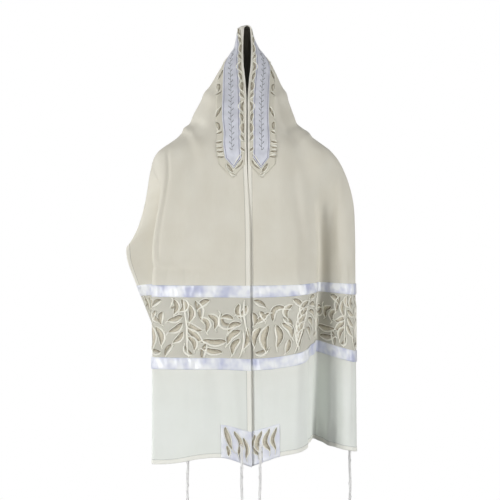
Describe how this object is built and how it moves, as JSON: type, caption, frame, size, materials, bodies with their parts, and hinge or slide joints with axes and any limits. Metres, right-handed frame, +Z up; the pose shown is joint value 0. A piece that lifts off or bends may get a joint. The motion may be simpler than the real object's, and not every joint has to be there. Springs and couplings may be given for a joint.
{
  "type": "tallit prayer shawl",
  "caption": "Rectangular prayer shawl hanging hollow from the middle of its neck edge, with a neckband, striped bands, corner patches and corner tassels.",
  "frame": {"origin": "the peak, in the middle of the neck edge at the centre back, where the shawl is held up", "axes": "+Z up; the opening faces -Y and the cape's back +Y; -X is the side on a viewer's left from the front"},
  "size_m": [0.4945, 0.3113, 1.1711],
  "materials": {
    "wool": "soft matt ivory twill",
    "lace": "beige voile embroidered with taupe and ivory leaves",
    "satin": "cool white satin",
    "cord": "white wool yarn"
  },
  "bodies": {
    "root": {"body_cloth": "wool", "end_cloth_left": "wool", "end_cloth_right": "wool", "band_left": "lace", "band_right": "lace", "neckband_backing": "lace", "neckband_strip": "satin", "ribbon_upper_left": "satin", "ribbon_upper_right": "satin", "ribbon_lower_left": "satin", "ribbon_lower_right": "satin", "corner_neck_left": "satin", "corner_neck_right": "satin", "corner_outer_left": "satin", "corner_outer_right": "satin", "tassel_neck_left": "cord", "tassel_neck_right": "cord", "tassel_outer_left": "cord", "tassel_outer_right": "cord"}
  },
  "joints": []
}
